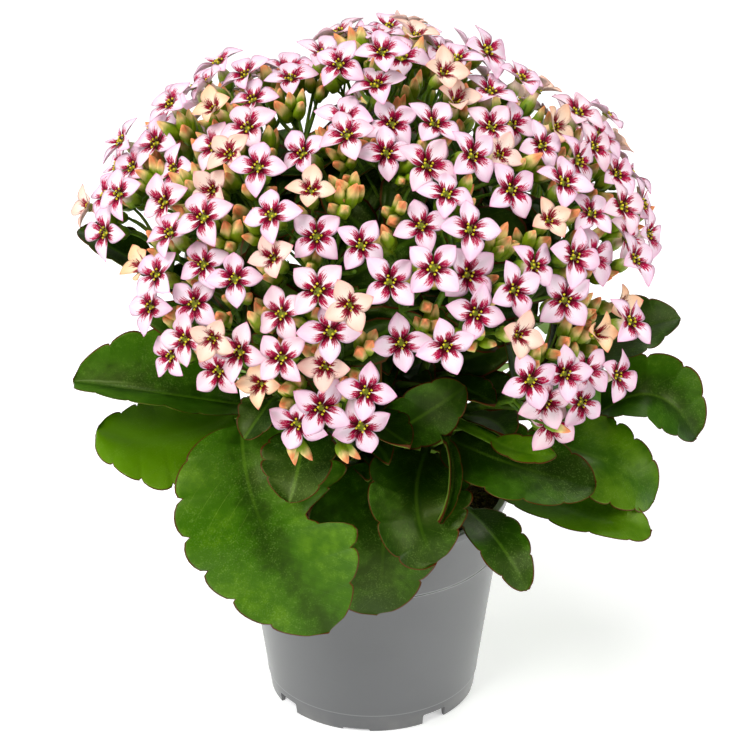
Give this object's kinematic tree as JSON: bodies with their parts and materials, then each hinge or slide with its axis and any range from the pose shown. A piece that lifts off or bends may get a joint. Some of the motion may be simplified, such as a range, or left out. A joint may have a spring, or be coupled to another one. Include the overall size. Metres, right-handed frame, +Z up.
{
  "type": "potted flowering plant",
  "caption": "Flowering potted kalanchoe: a dense dome of starry pink and crimson flowers above scalloped fleshy leaves, in a grey plastic nursery pot.",
  "frame": {"origin": "on the pot's axis, on the flat underside of its base, level with its feet", "axes": "+Z up along the pot's axis, -Y towards the front of the plant, +X to its right as seen from the front"},
  "size_m": [0.2634, 0.2387, 0.3095],
  "materials": {
    "pot_plastic": "satin moulded plastic",
    "soil": "loose peat potting mix",
    "stem": "smooth fleshy stem",
    "leaf": "glossy fleshy leaf",
    "petal": "soft satin petal"
  },
  "bodies": {
    "root": {"pot": "pot_plastic", "soil": "soil", "stem": "stem", "leaf_left_upper": "leaf", "leaf_left_lower": "leaf", "leaf_front_left": "leaf", "leaf_front_dark": "leaf", "leaf_front_behind": "leaf", "leaf_front_cup": "leaf", "leaf_front_fold": "leaf", "leaf_front_right_low": "leaf", "leaf_right_centre": "leaf", "leaf_right_behind": "leaf", "leaf_right_low_edge": "leaf", "leaf_right_upper": "leaf", "leaf_right_curled": "leaf", "leaf_bright_small": "leaf", "leaf_right_front_up": "leaf", "leaf_right_inner": "leaf", "leaf_centre_up": "leaf", "leaf_centre_small": "leaf", "leaf_left_inner": "leaf", "leaf_left_high": "leaf", "leaf_left_high_dark": "leaf", "leaf_upper_dark": "leaf", "leaf_right_side": "leaf", "leaf_back_right_side": "leaf", "leaf_back_right_low": "leaf", "leaf_back_middle": "leaf", "leaf_back_left_low": "leaf", "leaf_back_left_side": "leaf", "leaf_left_side": "leaf", "leaf_inner_front_left": "leaf", "leaf_inner_front_right": "leaf", "leaf_inner_front": "leaf", "leaf_inner_right": "leaf", "leaf_inner_back_right": "leaf", "leaf_inner_back_left": "leaf", "leaf_inner_left": "leaf", "head_front_low": "petal", "head_left_low": "petal", "head_right_low": "petal", "head_left": "petal", "head_front_left": "petal", "head_front_right": "petal", "head_right_middle": "petal", "head_left_middle": "petal", "head_right": "petal", "head_top_front": "petal", "head_top_right": "petal", "head_top_left": "petal", "head_top": "petal", "head_back_right": "petal", "head_back": "petal", "head_back_left": "petal", "head_back_top": "petal"}
  },
  "joints": []
}
